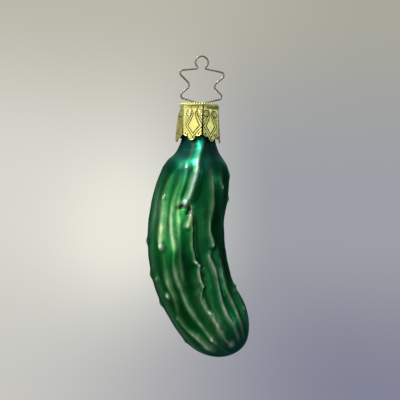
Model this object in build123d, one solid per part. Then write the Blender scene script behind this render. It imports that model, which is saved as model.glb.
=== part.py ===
from build123d import *
import math
import os

# Blown-glass gherkin ornament with a stamped metal cap and a spring-wire hanger.
# Millimetres. +Z is up, along the axis of the glass neck.
# The origin is inside the top of the wire eye, the point that carries the weight
# when the ornament hangs. The front of the ornament faces -Y.

# ---------------------------------------------------------------- wire hanger
WIRE_D = 0.60            # spring wire
EYE_RHO = 2.10           # centre-line radius of the round eye at the top
EYE_NECK = 0.85          # half spacing of the wire where the eye closes
ARM_Z = -15.70           # wire centre line where the lower arms leave the cap hole
LEG_X = 0.95             # half spacing of the two legs in the cap hole
LEG_SPREAD = 4.45        # half spacing of the legs where they bear on the bore
LEG_KNEE_Z = -28.0       # where the legs stop spreading
LEG_END_Z = -39.5        # cut ends of the legs

# ---------------------------------------------------------------- stamped cap
CAP_TOP_Z = -16.10       # upper face of the flat top
CAP_T = 0.28             # sheet thickness
CAP_R_TOP = 6.82         # skirt's outer radius below the shoulder
CAP_R_LOW = 7.60         # skirt's outer radius at the lobes' ends
CAP_SHOULDER = 1.20      # outer radius of the rolled shoulder
CAP_LOW_Z = -28.95       # ends of the lobes
CAP_SIDE_Z = -26.95      # petals' lower corners beside the slits
CAP_HOLE_R = 1.75        # round centre hole that both legs pass through
PETALS = 6
SLIT_HALF = 0.19         # half the gap between two petals
SLIT_TOP_Z = -16.95      # slits run out in the shoulder
FIRST_SLIT_DEG = 10.0    # first slit, measured from the front towards +X

# ---------------------------------------------------------------- glass body
GLASS_T = 0.70           # blown wall
NECK_R = 5.75            # outside of the neck tube
RIM_Z = -16.50           # cut rim of the neck, just under the cap's top
NECK_LOW_Z = -28.00      # the neck starts to swell here
# stations of the body: centre x, centre z, lean of the section (deg), outer radius
BODY = [
    (0.00, -28.00, 0.0, 5.75),
    (0.00, -29.30, 0.0, 6.02),
    (0.00, -30.60, 0.0, 6.50),
    (0.00, -32.00, 0.0, 7.10),
    (0.00, -33.20, 0.0, 7.85),
    (0.00, -34.40, -0.8, 8.85),
    (0.00, -35.50, -2.0, 9.83),
    (-0.03, -36.90, -3.6, 10.62),
    (-0.22, -39.20, -7.8, 11.42),
    (-0.74, -42.20, -11.2, 11.98),
    (-1.83, -47.34, -10.7, 12.43),
    (-2.59, -52.61, -5.6, 12.54),
    (-2.85, -57.73, -0.2, 12.72),
    (-2.65, -62.65, 4.8, 12.94),
    (-2.05, -67.33, 9.9, 13.05),
    (-1.06, -71.73, 15.4, 13.10),
    (0.26, -75.81, 20.4, 13.06),
    (1.82, -79.56, 25.0, 12.83),
    (3.58, -82.95, 29.8, 12.50),
    (5.47, -85.97, 34.1, 12.23),
    (7.39, -88.67, 36.4, 11.94),
    (9.22, -91.11, 37.0, 11.41),
    (10.87, -93.31, 36.3, 10.52),
    (12.28, -95.29, 34.7, 9.31),
    (13.44, -97.02, 32.6, 7.76),
    (14.33, -98.47, 30.4, 5.87),
    (14.94, -99.55, 28.5, 3.51),
]
TIP = (15.21, -100.07)


def station(x, z, lean, r):
    """A round section whose plane leans with the body's curved axis."""
    a = math.radians(lean)
    return Plane(origin=(x, 0, z), x_dir=(0, 1, 0), z_dir=(math.sin(a), 0, -math.cos(a))) * Circle(r)


def body_solid(inset):
    """The swollen part below the neck, drawn in all round by inset."""
    sections = []
    for x, z, lean, r in BODY:
        if r - inset > 2.0:
            sections.append(station(x, z, lean, r - inset))
    a = math.radians(28.0)
    tip = Vertex(TIP[0] - math.sin(a) * inset, 0, TIP[1] + math.cos(a) * inset)
    return loft(sections + [tip])


def make_glass():
    neck = Pos(0, 0, (RIM_Z + NECK_LOW_Z) / 2) * Cylinder(NECK_R, RIM_Z - NECK_LOW_Z)
    bore_top = RIM_Z + 2.0
    bore = Pos(0, 0, (bore_top + NECK_LOW_Z) / 2) * Cylinder(NECK_R - GLASS_T, bore_top - NECK_LOW_Z)
    outer = neck + body_solid(0.0)
    inner = bore + body_solid(GLASS_T)
    return outer - inner


def cap_turned(inset, low):
    """Solid of revolution of the cap's outside, drawn in by inset."""
    top = CAP_TOP_Z - inset
    rho = CAP_SHOULDER - inset
    knee_z = CAP_TOP_Z - CAP_SHOULDER
    r_knee = CAP_R_TOP - inset
    slope = (CAP_R_LOW - CAP_R_TOP) / (knee_z - CAP_LOW_Z)
    r_low = r_knee + slope * (knee_z - low)
    c45 = math.sqrt(0.5)
    centre = (CAP_R_TOP - CAP_SHOULDER, knee_z)
    with BuildPart() as p:
        with BuildSketch(Plane.XZ):
            with BuildLine():
                Line((0, top), (centre[0], top))
                ThreePointArc(
                    (centre[0], top),
                    (centre[0] + rho * c45, centre[1] + rho * c45),
                    (r_knee, knee_z),
                )
                Polyline((r_knee, knee_z), (r_low, low), (0, low), (0, top))
            make_face()
        revolve(axis=Axis.Z)
    return p.part


def petal_outline():
    """One petal seen square-on: tapered sides, two small scallops and a round lobe."""
    half = math.sin(math.pi / PETALS)
    w_top = CAP_R_TOP * half - SLIT_HALF
    w_low = (CAP_R_TOP + 0.80 * (CAP_R_LOW - CAP_R_TOP)) * half - SLIT_HALF - 0.03
    lobe = 1.50
    with BuildSketch() as s:
        with BuildLine():
            Polyline((-w_low, CAP_SIDE_Z), (-w_top, SLIT_TOP_Z + 1.0), (w_top, SLIT_TOP_Z + 1.0), (w_low, CAP_SIDE_Z))
            ThreePointArc((w_low, CAP_SIDE_Z), (2.55, CAP_SIDE_Z - 0.72), (lobe, CAP_SIDE_Z - 0.45))
            ThreePointArc((lobe, CAP_SIDE_Z - 0.45), (0, CAP_LOW_Z), (-lobe, CAP_SIDE_Z - 0.45))
            ThreePointArc((-lobe, CAP_SIDE_Z - 0.45), (-2.55, CAP_SIDE_Z - 0.72), (-w_low, CAP_SIDE_Z))
        make_face()
    return s.sketch


def make_cap():
    shell = cap_turned(0.0, CAP_LOW_Z - 0.3) - cap_turned(CAP_T, CAP_LOW_Z - 1.0)
    shell -= Pos(0, 0, CAP_TOP_Z) * Cylinder(CAP_HOLE_R, 4)
    outline = petal_outline()
    waste = Pos(0, 0, (SLIT_TOP_Z + CAP_LOW_Z - 2) / 2) * Cylinder(10, SLIT_TOP_Z - CAP_LOW_Z + 2)
    for k in range(PETALS):
        deg = FIRST_SLIT_DEG + (k + 0.5) * 360 / PETALS
        # a plane whose normal points outwards at deg from the front towards +X
        a = math.radians(deg)
        out = Vector(math.sin(a), -math.cos(a), 0)
        side = Vector(math.cos(a), math.sin(a), 0)
        plane = Plane(origin=out * 4.0, x_dir=side, z_dir=out)
        waste -= extrude(plane * outline, 7)
    return shell - waste


def make_hanger():
    half = WIRE_D / 2
    # the eye is the round drawn in a square standing on its corner
    eye_z = half - EYE_RHO
    corner = EYE_RHO * math.sqrt(2)
    neck_z = eye_z - (corner - EYE_NECK)
    pts = [
        (-LEG_SPREAD, LEG_END_Z),
        (-LEG_SPREAD, LEG_KNEE_Z),
        (-LEG_X, CAP_TOP_Z - 1.1),
        (-LEG_X, ARM_Z),
        (-7.75, -13.88),
        (-3.30, -9.75),
        (-8.45, -4.98),
        (-EYE_NECK, neck_z),
        (-corner, eye_z),
        (0, eye_z + corner),
        (corner, eye_z),
        (EYE_NECK, neck_z),
        (9.00, -5.28),
        (3.95, -9.85),
        (8.35, -13.68),
        (LEG_X, ARM_Z),
        (LEG_X, CAP_TOP_Z - 1.1),
        (LEG_SPREAD, LEG_KNEE_Z),
        (LEG_SPREAD, LEG_END_Z),
    ]
    bend = EYE_RHO - 0.15
    radii = [3.0, 1.2, 0.70, 1.15, 1.50, 1.00, 0.45, bend, EYE_RHO, bend, 0.45, 1.10, 1.50, 1.10, 0.70, 1.2, 3.0]
    path = FilletPolyline(*[(x, 0, z) for x, z in pts], radius=radii)
    start = Plane(origin=path @ 0, z_dir=path % 0)
    return sweep(start * Circle(half), path=path), path


os.makedirs("parts", exist_ok=True)
glass = make_glass()
cap = make_cap()
hanger, route = make_hanger()
export_step(glass, "parts/glass_body.step")
export_step(cap, "parts/cap.step")
export_step(hanger, "parts/wire_hanger.step")
for name, shape in (("glass_body", glass), ("cap", cap), ("wire_hanger", hanger)):
    box = shape.bounding_box()
    print(name, "volume", round(shape.volume, 2), "z", round(box.min.Z, 2), round(box.max.Z, 2), "x", round(box.min.X, 2), round(box.max.X, 2))
print("wire length", round(route.length, 2), "section times length", round(math.pi * WIRE_D**2 / 4 * route.length, 2))
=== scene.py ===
import math

import bmesh
import bpy
import numpy as np
from mathutils import Matrix, Vector


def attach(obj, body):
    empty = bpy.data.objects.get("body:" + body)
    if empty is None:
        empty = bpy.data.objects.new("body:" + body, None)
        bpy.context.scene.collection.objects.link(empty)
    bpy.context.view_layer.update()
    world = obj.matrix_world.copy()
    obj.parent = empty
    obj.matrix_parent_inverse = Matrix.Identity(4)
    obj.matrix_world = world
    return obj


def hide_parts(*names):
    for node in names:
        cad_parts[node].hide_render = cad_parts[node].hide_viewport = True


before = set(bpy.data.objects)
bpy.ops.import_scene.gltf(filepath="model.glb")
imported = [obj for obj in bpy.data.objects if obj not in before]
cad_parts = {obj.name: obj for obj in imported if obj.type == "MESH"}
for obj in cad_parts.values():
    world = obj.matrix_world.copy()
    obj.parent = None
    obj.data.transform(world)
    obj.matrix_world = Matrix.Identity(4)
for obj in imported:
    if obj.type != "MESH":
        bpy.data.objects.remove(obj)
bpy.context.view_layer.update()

MM = 0.001
scene = bpy.context.scene

# ------------------------------------------------------------------ small tools


def spline(xs, ys):
    """Natural cubic spline through the points, held level past both ends."""
    xs, ys = np.asarray(xs, float), np.asarray(ys, float)
    n = len(xs)
    h = np.diff(xs)
    m = np.zeros((n, n))
    b = np.zeros(n)
    m[0, 0] = m[-1, -1] = 1
    for i in range(1, n - 1):
        m[i, i - 1], m[i, i], m[i, i + 1] = h[i - 1], 2 * (h[i - 1] + h[i]), h[i]
        b[i] = 6 * ((ys[i + 1] - ys[i]) / h[i] - (ys[i] - ys[i - 1]) / h[i - 1])
    k = np.linalg.solve(m, b)

    def value(x):
        x = np.clip(np.asarray(x, float), xs[0], xs[-1])
        i = np.clip(np.searchsorted(xs, x) - 1, 0, n - 2)
        t0, t1 = xs[i + 1] - x, x - xs[i]
        return (
            k[i] * t0**3 / (6 * h[i])
            + k[i + 1] * t1**3 / (6 * h[i])
            + (ys[i] / h[i] - k[i] * h[i] / 6) * t0
            + (ys[i + 1] / h[i] - k[i + 1] * h[i] / 6) * t1
        )

    return value


def ease(a, b, x):
    """0 below a, 1 above b, smooth between."""
    t = np.clip((np.asarray(x, float) - a) / (b - a), 0, 1)
    return t * t * (3 - 2 * t)


def along(table, s):
    """A value that changes along the body, from (length, value) pairs, straight between them."""
    table = np.asarray(table, float)
    return np.interp(s, table[:, 0], table[:, 1])


def waves(seed, count, turns, pitch_mm):
    """A smooth wandering field over (length, angle), the same on every run, about -1 to 1."""
    rng = np.random.RandomState(seed)
    m = rng.randint(0, turns + 1, count)
    w = rng.uniform(-1, 1, count) * 2 * math.pi / pitch_mm
    p = rng.uniform(0, 2 * math.pi, count)

    def value(s, f):
        total = 0.0
        for i in range(count):
            total = total + np.cos(m[i] * f + w[i] * s + p[i])
        return total / math.sqrt(count) / 1.2

    return value


def wrap(a):
    return (a + np.pi) % (2 * np.pi) - np.pi


def near_line(px, py, pts):
    """Distance from points to a polyline, and how far along it (0 to 1) the nearest spot is."""
    best = np.full(np.shape(px), 1e9)
    where = np.zeros(np.shape(px))
    pts = [np.array(q, float) for q in pts]
    lens = [np.linalg.norm(b - a) for a, b in zip(pts, pts[1:])]
    total, done = sum(lens), 0.0
    for (a, b), ln in zip(zip(pts, pts[1:]), lens):
        e = b - a
        q = np.clip(((px - a[0]) * e[0] + (py - a[1]) * e[1]) / (ln * ln), 0, 1)
        d = np.hypot(px - a[0] - q * e[0], py - a[1] - q * e[1])
        hit = d < best
        best = np.where(hit, d, best)
        where = np.where(hit, (done + q * ln) / total, where)
        done += ln
    return best, where


def mesh_object(name, points, faces, body, node_name):
    mesh = bpy.data.meshes.new(name)
    mesh.from_pydata([tuple(p) for p in points], [], faces)
    mesh.validate()
    mesh.update()
    mesh.polygons.foreach_set("use_smooth", [True] * len(mesh.polygons))
    obj = bpy.data.objects.new(name, mesh)
    scene.collection.objects.link(obj)
    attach(obj, body)
    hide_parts(node_name)
    return obj


def face_outwards(obj):
    bm = bmesh.new()
    bm.from_mesh(obj.data)
    bmesh.ops.recalc_face_normals(bm, faces=bm.faces)
    bm.to_mesh(obj.data)
    bm.free()


def float_attribute(mesh, name, values):
    a = mesh.attributes.new(name, "FLOAT", "POINT")
    a.data.foreach_set("value", np.asarray(values, np.float32).ravel())


def new_material(name):
    m = bpy.data.materials.new(name)
    m.use_nodes = True
    nt = m.node_tree
    nt.nodes.clear()
    out = nt.nodes.new("ShaderNodeOutputMaterial")
    bsdf = nt.nodes.new("ShaderNodeBsdfPrincipled")
    nt.links.new(bsdf.outputs[0], out.inputs[0])
    return m, nt, bsdf


def noise(nt, coords, scale, detail=3.0, rough=0.5, stretch=None):
    """Noise over object coordinates, as a 0 to 1 value; stretch squeezes it per axis."""
    v = coords
    if stretch is not None:
        mp = nt.nodes.new("ShaderNodeMapping")
        mp.inputs["Scale"].default_value = stretch
        nt.links.new(coords, mp.inputs["Vector"])
        v = mp.outputs[0]
    n = nt.nodes.new("ShaderNodeTexNoise")
    n.inputs["Scale"].default_value = scale
    n.inputs["Detail"].default_value = detail
    n.inputs["Roughness"].default_value = rough
    nt.links.new(v, n.inputs["Vector"])
    return n.outputs["Fac"]


def mrange(nt, value, a, b, c=0.0, d=1.0, smooth=True):
    n = nt.nodes.new("ShaderNodeMapRange")
    n.interpolation_type = "SMOOTHSTEP" if smooth else "LINEAR"
    n.inputs["From Min"].default_value = a
    n.inputs["From Max"].default_value = b
    n.inputs["To Min"].default_value = c
    n.inputs["To Max"].default_value = d
    nt.links.new(value, n.inputs["Value"])
    return n.outputs[0]


def calc(nt, op, a, b=None, clamp=False):
    n = nt.nodes.new("ShaderNodeMath")
    n.operation = op
    n.use_clamp = clamp
    for i, v in enumerate((a, b)):
        if v is None:
            continue
        if isinstance(v, (int, float)):
            n.inputs[i].default_value = v
        else:
            nt.links.new(v, n.inputs[i])
    return n.outputs[0]


def mix(nt, fac, a, b, blend="MIX"):
    n = nt.nodes.new("ShaderNodeMix")
    n.data_type = "RGBA"
    n.blend_type = blend
    n.clamp_factor = True
    for socket, v in ((n.inputs[0], fac), (n.inputs[6], a), (n.inputs[7], b)):
        if isinstance(v, (int, float)):
            socket.default_value = v
        elif isinstance(v, tuple):
            socket.default_value = (*v, 1.0)
        else:
            nt.links.new(v, socket)
    return n.outputs[2]


def attribute(nt, name):
    n = nt.nodes.new("ShaderNodeAttribute")
    n.attribute_name = name
    return n.outputs["Fac"]


def object_coords(nt):
    return nt.nodes.new("ShaderNodeTexCoord").outputs["Object"]


def bump(nt, bsdf, height, strength, distance):
    n = nt.nodes.new("ShaderNodeBump")
    n.inputs["Strength"].default_value = strength
    n.inputs["Distance"].default_value = distance
    nt.links.new(height, n.inputs["Height"])
    nt.links.new(n.outputs[0], bsdf.inputs["Normal"])


# ------------------------------------------------------------------ camera
# 400 x 400 image, focal length 735 pixels, 0.25 m in front of the neck's plane.
F_PX = 735.0
roll = math.radians(2.5)
c, s = math.cos(roll), math.sin(roll)
cam_data = bpy.data.cameras.new("camera")
cam_data.sensor_fit = "HORIZONTAL"
cam_data.sensor_width = 36.0
cam_data.lens = 36.0 * F_PX / 400.0
cam_data.clip_start, cam_data.clip_end = 0.01, 20
camera = bpy.data.objects.new("camera", cam_data)
camera.matrix_world = Matrix(
    (
        (c, -s, 0, 1.441 * MM),
        (0, 0, -1, -250.0 * MM),
        (s, c, 0, -48.60 * MM),
        (0, 0, 0, 1),
    )
)
scene.collection.objects.link(camera)
scene.camera = camera
scene.view_settings.view_transform = "Standard"
scene.view_settings.look = "None"

# ------------------------------------------------------------------ glass body
# centre x, centre z, lean of the section in degrees, outer radius; millimetres
BODY = np.array(
    [
        (0.00, -28.00, 0.0, 5.75),
        (0.00, -29.30, 0.0, 6.02),
        (0.00, -30.60, 0.0, 6.50),
        (0.00, -32.00, 0.0, 7.10),
        (0.00, -33.20, 0.0, 7.85),
        (0.00, -34.40, -0.8, 8.85),
        (0.00, -35.50, -2.0, 9.83),
        (-0.03, -36.90, -3.6, 10.62),
        (-0.22, -39.20, -7.8, 11.42),
        (-0.74, -42.20, -11.2, 11.98),
        (-1.83, -47.34, -10.7, 12.43),
        (-2.59, -52.61, -5.6, 12.54),
        (-2.85, -57.73, -0.2, 12.72),
        (-2.65, -62.65, 4.8, 12.94),
        (-2.05, -67.33, 9.9, 13.05),
        (-1.06, -71.73, 15.4, 13.10),
        (0.26, -75.81, 20.4, 13.06),
        (1.82, -79.56, 25.0, 12.83),
        (3.58, -82.95, 29.8, 12.50),
        (5.47, -85.97, 34.1, 12.23),
        (7.39, -88.67, 36.4, 11.94),
        (9.22, -91.11, 37.0, 11.41),
        (10.87, -93.31, 36.3, 10.52),
        (12.28, -95.29, 34.7, 9.31),
        (13.44, -97.02, 32.6, 7.76),
        (14.33, -98.47, 30.4, 5.87),
        (14.94, -99.55, 28.5, 3.51),
        (15.21, -100.07, 28.0, 0.0),
    ]
)
RIM_Z, NECK_Z, NECK_R, WALL = -16.50, -28.00, 5.75, 0.70

# Ridges that run along the body. line: points (length along the axis from the neck's
# foot in mm, angle from the front towards +X in degrees); height: (length, mm) pairs;
# left, right: widths of its two flanks; sharp: 2 is round, less is keener;
# paint: (length, amount) pairs of pale colour on the crest, partly pale paint and partly a painted highlight, edge:
# that band's half width.
USUAL = [(8, 0), (16, 0.9), (40, 1), (64, 0.9), (75, 0)]
FAINT = [(10, 0), (18, 0.12), (34, 0.14), (48, 0.18), (62, 0.22), (71, 0)]
BACK = [(10, 0), (16, 0.25), (22, 0.6), (30, 0.75), (37, 0.4), (44, 0.7), (56, 0.6), (66, 0.6), (72, 0)]
RIDGES = [
    dict(line=[(-2, 19), (1.6, 16), (4.8, 9.5), (7.0, 4.4), (8.6, 3.2), (10.6, 3.9), (12, 3.2), (16, 2.2), (20.3, 0.2), (22.3, -3.0), (24, -5)],
         height=[(-1, 0.2), (0, 0.35), (1.3, 0.7), (2.6, 0.9), (4.2, 1.0), (5.6, 1.05), (7, 1.0), (8.5, 0.9), (12, 0.88), (20, 0.85), (22.5, 0.5), (23.8, 0)],
         left=1.35, right=0.80, sharp=1.8, paint=[(-1, 0), (4, 0.06), (7, 0.32), (10, 0.62), (14, 0.82), (20, 0.9), (23, 0.6), (24, 0)], edge=[(0, 0.8), (10, 0.8), (15, 1.0), (20, 1.3), (23, 1.2)], shift=-0.50),
    dict(line=[(21, 6.8), (24.4, 6.2), (25.7, 7.0), (29.5, 9.2), (34, 10.0), (37.3, 9.4), (39.6, 10.6), (41.9, 13.0), (43, 15.6), (44.6, 14.0), (47, 12.6), (49, 12.6), (50.4, 12.8), (51.6, 9.8), (53, 7.0), (55.1, 5.0), (58.5, 4.4), (59.8, 5.8), (63.8, 4.8), (66.8, 3.6), (70.2, 4.2), (73, 8)],
         height=[(21.5, 0), (23.5, 0.65), (28, 0.85), (40, 1.0), (44, 1.1), (52, 1.0), (58, 0.65), (66, 0.5), (75, 0)],
         left=1.9, right=0.55, sharp=1.45, paint=[(22, 0), (24.5, 0.8), (28, 0.8), (31, 0.55), (40, 0.65), (43, 1.0), (51, 1.0), (56, 1.0), (62, 0.85), (66, 0.8), (71, 0.85), (74, 0)], edge=[(50, 0.55), (56, 0.65), (61, 1.1), (66, 1.2), (72, 0.8)], shift=-0.15),
    dict(line=[(40, 21), (44.2, 22), (46.8, 22.2), (50.2, 19.6), (54.4, 15.4), (58.4, 12.8), (62.9, 11.0), (66, 10.5)],
         height=[(39, 0), (43, 0.38), (52, 0.40), (60, 0.25), (66, 0)], left=1.0, right=2.2, sharp=2.0,
         paint=[(41, 0), (45, 0.12), (54, 0.10), (62, 0.22), (66, 0.2), (68, 0)], edge=1.2, shift=0.3),
    dict(line=[(8, 23), (10.2, 25.2), (14.5, 30), (19.2, 36.8), (26.7, 39.6), (32.4, 39.4), (36.6, 41.8), (38.4, 36.4), (39.9, 33.8), (42.7, 35.6), (46.9, 37.6), (53.2, 35.6), (58.9, 30.0), (63.5, 26.4), (68, 28), (73, 28)],
         height=[(8, 0), (14, 0.5), (30, 0.62), (36.8, 0.6), (38.2, 0.22), (39.8, 0.5), (44, 0.62), (64, 0.6), (74, 0)], left=1.5, right=1.3, sharp=2.0,
         paint=[(9, 0.02), (12, 0.20), (16, 0.42), (20, 0.5), (27, 0.42), (31, 0.55), (36, 0.75), (37.2, 0.10), (38.6, 0.12), (40.2, 0.65), (43, 0.9), (47, 0.9), (53, 0.75), (57, 0.7), (61, 1.0), (64, 0.9), (67, 0.7), (71, 0.55), (74, 0)], edge=1.10, shift=0),
    dict(line=[(11, 48), (14.3, 51.8), (18, 58), (24.2, 65), (34.8, 62.8), (43.2, 55.0), (49.7, 51.6), (55.9, 51.0), (62.7, 46.8), (66.9, 45.2), (73, 44)],
         height=[(9, 0), (16, 0.36), (22, 0.24), (38, 0.26), (46, 0.5), (64, 0.55), (74, 0)], left=1.5, right=1.4, sharp=2.0,
         paint=[(10, 0.04), (14, 0.25), (18, 0.03), (42, 0.03), (46, 0.45), (52, 0.8), (57, 0.5), (63, 0.8), (70, 0.6), (74, 0)], edge=1.05, shift=0),
    dict(line=[(8, -21.5), (12.5, -22.5), (17.1, -22.4), (21, -23.4), (24, -23.6), (29.1, -21.8), (33.6, -18.4), (36.4, -16.2), (40.1, -18.6), (44.9, -20), (49.7, -18.8), (55.3, -19), (59.2, -17.6), (63.7, -16), (67.1, -15.8), (72, -14)],
         height=[(10, 0), (15, 0.22), (20, 0.5), (26, 0.68), (64, 0.65), (68, 0.45), (74, 0)], left=1.45, right=1.45, sharp=2.0,
         paint=[(10, 0), (16, 0.06), (20, 0.16), (24, 0.55), (28, 0.85), (36.3, 0.9), (37.6, 0.14), (38, 0.05), (41, 0.06), (43.5, 0.5), (50, 0.68), (57, 0.62), (60, 0.5), (65, 0.95), (68, 0.9), (70, 0.1)], edge=[(20, 0.9), (33, 1.0), (36.4, 1.35), (40, 1.05)], shift=0),
    dict(line=[(7, -16.5), (9.8, -16), (13, -14.4), (16.5, -13.4), (20, -14.6), (24, -13.8), (27.4, -10.8), (34, -9.2), (40.7, -9.6), (45.3, -11.8), (50, -12)],
         height=[(7, 0), (11, 0.38), (17, 0.34), (23, 0.32), (32, 0.26), (44, 0.20), (50, 0)], left=1.15, right=1.15, sharp=2.0,
         paint=[(20, 0.1), (22.4, 0.75), (25, 0.95), (28, 0.8), (30.5, 0.5), (33, 0.22), (38, 0.12), (44, 0.35), (49, 0)], edge=0.74, shift=0),
    dict(line=[(12, -40), (15.5, -40.5), (21.8, -40.6), (28.2, -38.4), (33.0, -38.6), (36.0, -38.2), (38.5, -36.2), (43.3, -35), (46.5, -36.4), (51.2, -35.0), (55, -42), (59.3, -46), (63.9, -37.5), (69.6, -33.6), (74, -31)],
         height=[(11, 0), (17, 0.45), (26, 0.68), (34, 0.66), (37.2, 0.30), (41, 0.42), (46, 0.56), (50, 0.5), (54, 0.24), (57, 0.30), (60.5, 0.52), (66, 0.58), (75, 0)], left=1.45, right=1.45, sharp=2.0,
         paint=[(14, 0), (17, 0.2), (20, 0.25), (22, 0.8), (24, 0.85), (27, 1.0), (33, 1.0), (35.6, 1.0), (36.6, 0.1), (39, 0.15), (44, 0.55), (46, 0.75), (49, 0.5), (52, 0.36), (56, 0.42), (59, 0.65), (64, 0.78), (69, 0.75), (73, 0)], edge=[(18, 1.1), (24, 1.5), (34, 1.45), (38, 1.1), (56, 1.5), (63, 2.2), (70, 2.3)], shift=-0.2),
    dict(line=[(14, -60), (22, -63), (30, -60), (38, -62), (45, -59.5), (50, -56), (57, -62), (63, -66), (70, -58), (74, -50)],
         height=[(10, 0), (18, 0.42), (66, 0.42), (75, 0)], left=1.7, right=1.6, sharp=2.0, paint=FAINT, edge=0.7, shift=0),
    dict(line=[(12, -80), (25, -83), (35, -86), (45, -84), (52, -85), (60, -90), (70, -84)],
         height=[(9, 0), (18, 0.46), (66, 0.46), (75, 0)], left=1.7, right=1.7, sharp=2.0, paint=FAINT, edge=0.7, shift=0),
    dict(line=[(12, 78), (20, 85), (30, 89), (40, 84), (50, 78), (58, 73), (65, 67), (72, 66)],
         height=[(9, 0), (18, 0.46), (66, 0.46), (75, 0)], left=1.7, right=1.7, sharp=2.0, paint=FAINT, edge=0.7, shift=0),
    dict(line=[(12, 103), (22, 108), (33, 111), (44, 105), (55, 99), (64, 92), (72, 92)],
         height=[(9, 0), (18, 0.64), (40, 0.72), (66, 0.6), (75, 0)], left=1.6, right=1.5, sharp=1.9, paint=BACK, edge=1.1, shift=0),
    dict(line=[(11, 128), (20, 131), (32, 136), (42, 130), (53, 124), (63, 121), (72, 123)],
         height=[(9, 0), (18, 0.6), (34, 0.74), (66, 0.62), (75, 0)], left=1.7, right=1.3, sharp=1.8, paint=BACK, edge=1.0, shift=0),
    dict(line=[(10, 152), (22, 150), (30, 157), (43, 153), (52, 148), (62, 150), (72, 154)],
         height=[(7, 0), (16, 0.62), (30, 0.78), (66, 0.62), (75, 0)], left=1.4, right=1.8, sharp=1.8, paint=BACK, edge=[(10, 0.9), (26, 1.4), (44, 1.0), (60, 1.3)], shift=0),
    dict(line=[(2, 174), (11, 175), (20, 179), (31, 174), (40, 180), (51, 176), (60, 172), (72, 178)],
         height=[(0, 0.1), (8, 0.6), (28, 0.92), (37, 0.70), (46, 0.66), (54, 0.80), (66, 0.6), (75, 0)], left=1.9, right=0.75, sharp=1.5, paint=BACK, edge=0.8, shift=-0.15),
    dict(line=[(10, 198), (24, 203), (34, 199), (45, 205), (56, 201), (66, 204), (72, 206)],
         height=[(9, 0), (18, 0.62), (44, 0.72), (66, 0.62), (75, 0)], left=1.6, right=1.6, sharp=2.0, paint=BACK, edge=[(10, 0.9), (20, 1.0), (36, 1.4), (52, 1.0)], shift=0),
    dict(line=[(11, 224), (22, 226), (33, 230), (44, 226), (55, 224), (65, 229), (72, 232)],
         height=[(9, 0), (18, 0.66), (66, 0.62), (75, 0)], left=1.5, right=1.7, sharp=2.0, paint=BACK, edge=1.1, shift=0),
    dict(line=[(12, 250), (24, 252), (36, 249), (47, 254), (58, 250), (66, 255), (72, 258)],
         height=[(10, 0), (18, 0.58), (66, 0.56), (75, 0)], left=1.6, right=1.6, sharp=2.0, paint=BACK, edge=1.0, shift=0),
]

# Warts: length, angle, height, radius, and for some how much pale paint is on the tip, a painted glint.
# A negative height is a hollow.
WARTS = [
    (26.4, 5.4, 0.26, 0.75), (29.6, 3.0, 0.50, 0.85),
    (21.8, -41.0, 0.50, 0.90, 0.85), (14.3, 51.8, 0.48, 0.80), (35.7, -37.4, 0.80, 1.45, 1.0),
    (36.7, 42.2, 0.62, 0.90), (41.8, 12.6, 0.60, 0.72, 1.0), (43.0, 15.6, 0.56, 0.72, 1.0),
    (43.8, 19.6, -0.36, 0.80), (50.4, 13.2, 0.34, 0.60), (51.9, 12.6, -0.40, 0.75), (47.4, 18.4, -0.22, 0.70),
    (49.9, -47.4, 0.60, 0.95, 1.0), (44.7, -59.5, 0.52, 0.90, 0.5), (59.7, 6.0, 0.36, 0.65),
    (63.6, 10.8, 0.24, 1.10, 0.35), (65.4, 9.4, 0.22, 1.00, 0.35), (58.0, 71.0, 0.50, 0.90, 0.45), (65.5, 65.5, 0.52, 0.90, 0.45),
    (67.2, -16.2, 0.75, 0.85, 0.9), (69.3, -35.6, 0.40, 1.20, 0.45), (56.8, -50.0, 0.46, 0.90, 0.45),
    (72.5, 7.6, 0.26, 1.50, 0.55), (34.5, -86.0, 0.62, 1.0), (43.6, -85.0, 0.56, 0.95),
    (51.7, -84.0, 0.60, 0.95), (64.2, -82.0, 0.52, 0.95), (10.5, 79.0, 0.42, 1.1),
    (17.5, 83.0, 0.46, 1.0), (10.5, -17.5, 0.13, 1.5, 0.25),
    # the back
    (16.8, 108.0, 0.50, 0.9), (20.5, 150.5, 0.60, 0.9), (24.2, 203.0, 0.55, 0.85),
    (27.5, 131.0, 0.45, 0.8), (30.0, 174.5, 0.62, 0.9), (31.8, 229.0, 0.50, 0.85),
    (35.0, 110.5, 0.55, 0.9), (38.4, 154.0, 0.48, 0.8), (40.2, 180.0, 0.36, 0.7),
    (41.4, 183.5, 0.34, 0.65), (44.6, 226.0, 0.55, 0.9), (47.0, 127.0, 0.52, 0.85),
    (48.8, 253.5, 0.52, 0.9), (51.5, 150.0, 0.50, 0.85), (53.0, 202.5, 0.58, 0.9),
    (57.2, 98.0, 0.50, 0.9), (58.5, 173.0, 0.46, 0.75), (60.6, 224.5, 0.50, 0.85),
    (63.5, 122.0, 0.48, 0.85), (66.0, 203.5, 0.52, 0.85), (68.2, 152.0, 0.48, 0.85),
    (70.4, 177.0, 0.42, 0.8), (22.8, 251.5, 0.48, 0.85), (37.6, 250.0, 0.50, 0.9),
]

seg = np.hypot(np.diff(BODY[:, 0]), np.diff(BODY[:, 1]))
arc = np.concatenate([[0], np.cumsum(seg)])
S_END = arc[-1]
ax_x, ax_z, ax_lean = spline(arc, BODY[:, 0]), spline(arc, BODY[:, 1]), spline(arc, BODY[:, 2])
ax_r2 = spline(arc, BODY[:, 3] ** 2)


def radius(sv):
    return np.sqrt(np.maximum(ax_r2(sv), 0))


def tube_point(x, z, lean, r, f):
    """A point of a round section: f is the angle from the front towards +X."""
    a = np.radians(lean)
    return np.stack(
        [x + r * np.sin(f) * np.cos(a), -r * np.cos(f), z + r * np.sin(f) * np.sin(a)], -1
    )


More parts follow.
